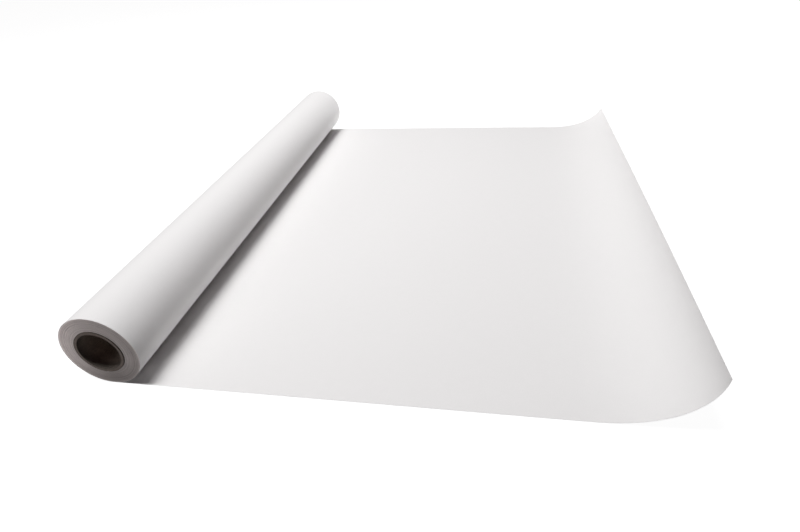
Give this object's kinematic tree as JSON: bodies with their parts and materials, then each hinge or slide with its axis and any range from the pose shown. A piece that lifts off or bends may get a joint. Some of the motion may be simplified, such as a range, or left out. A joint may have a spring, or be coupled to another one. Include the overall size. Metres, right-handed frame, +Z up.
{
  "type": "backdrop paper roll",
  "caption": "Roll of seamless studio backdrop paper on an open paperboard core, lying on its side and partly unrolled, with a curled free end.",
  "frame": {"origin": "centre of the footprint of the roll and its unrolled sheet, on the surface they lie on", "axes": "+Y along the roll, +X the way the paper is unrolled, +Z up"},
  "size_m": [1.1062, 1.353, 0.148],
  "materials": {
    "paper": "matte white uncoated seamless paper",
    "kraft": "brown-grey kraft facing ply of the core",
    "board": "grey-brown core board",
    "tape": "translucent adhesive tape"
  },
  "bodies": {
    "sheet": {"sheet_flat": "paper", "sheet_curl_1": "paper"},
    "nip": {"sheet_nip": "paper"},
    "roll": {"core_liner_ply": "kraft", "core_body_plies": "board", "core_wrap_ply": "kraft", "start_tape": "tape", "paper_inner_turns": "paper", "paper_middle_turns": "paper", "paper_outer_turns": "paper", "outer_turn": "paper"},
    "curl_1": {"sheet_curl_2": "paper"},
    "curl_2": {"sheet_curl_3": "paper"},
    "curl_3": {"sheet_curl_4": "paper"},
    "curl_4": {"sheet_curl_5": "paper"},
    "curl_5": {"sheet_curl_6": "paper"},
    "curl_6": {"sheet_curl_7": "paper"}
  },
  "joints": [
    {"name": "roll_travel", "type": "slide", "parent": "sheet", "child": "nip", "axis": [1, 0, 0], "range_m": [0, 0.7], "deforming": ["sheet_flat"]},
    {"name": "roll_spin", "type": "hinge", "parent": "nip", "child": "roll", "pos_m": [-0.47909, 0, 0.074], "axis": [0, 1, 0], "range_deg": [0, 542.7]},
    {"name": "curl_bend_1", "type": "hinge", "parent": "sheet", "child": "curl_1", "pos_m": [0.37793, 0, 0.00036], "axis": [-0.034, -0.9994, 0], "range_deg": [-2.3, 1.6], "stiffness_Nm_per_rad": 6.602, "springref_deg": 1.95},
    {"name": "curl_bend_2", "type": "hinge", "parent": "curl_1", "child": "curl_2", "pos_m": [0.40987, 0, 0.00246], "axis": [-0.034, -0.9994, 0], "range_deg": [-4.44, 3.12]},
    {"name": "curl_bend_3", "type": "hinge", "parent": "curl_2", "child": "curl_3", "pos_m": [0.44142, 0.00002, 0.00779], "axis": [-0.034, -0.9994, 0], "range_deg": [-6.49, 4.54]},
    {"name": "curl_bend_4", "type": "hinge", "parent": "curl_3", "child": "curl_4", "pos_m": [0.4718, 0.00007, 0.01776], "axis": [-0.034, -0.9994, 0], "range_deg": [-8.53, 5.97]},
    {"name": "curl_bend_5", "type": "hinge", "parent": "curl_4", "child": "curl_5", "pos_m": [0.49961, 0.00022, 0.03351], "axis": [-0.034, -0.9994, 0], "range_deg": [-10.58, 7.39]},
    {"name": "curl_bend_6", "type": "hinge", "parent": "curl_5", "child": "curl_6", "pos_m": [0.52272, 0.00052, 0.05553], "axis": [-0.034, -0.9994, 0], "range_deg": [-12.62, 8.81]}
  ],
  "couplings": [
    {"joint": "roll_spin", "follows": "roll_travel", "rad_per_m": 13.514},
    {"joint": "curl_bend_2", "follows": "curl_bend_1", "ratio": 1.8889},
    {"joint": "curl_bend_3", "follows": "curl_bend_1", "ratio": 2.7778},
    {"joint": "curl_bend_4", "follows": "curl_bend_1", "ratio": 3.6667},
    {"joint": "curl_bend_5", "follows": "curl_bend_1", "ratio": 4.5556},
    {"joint": "curl_bend_6", "follows": "curl_bend_1", "ratio": 5.4444}
  ]
}
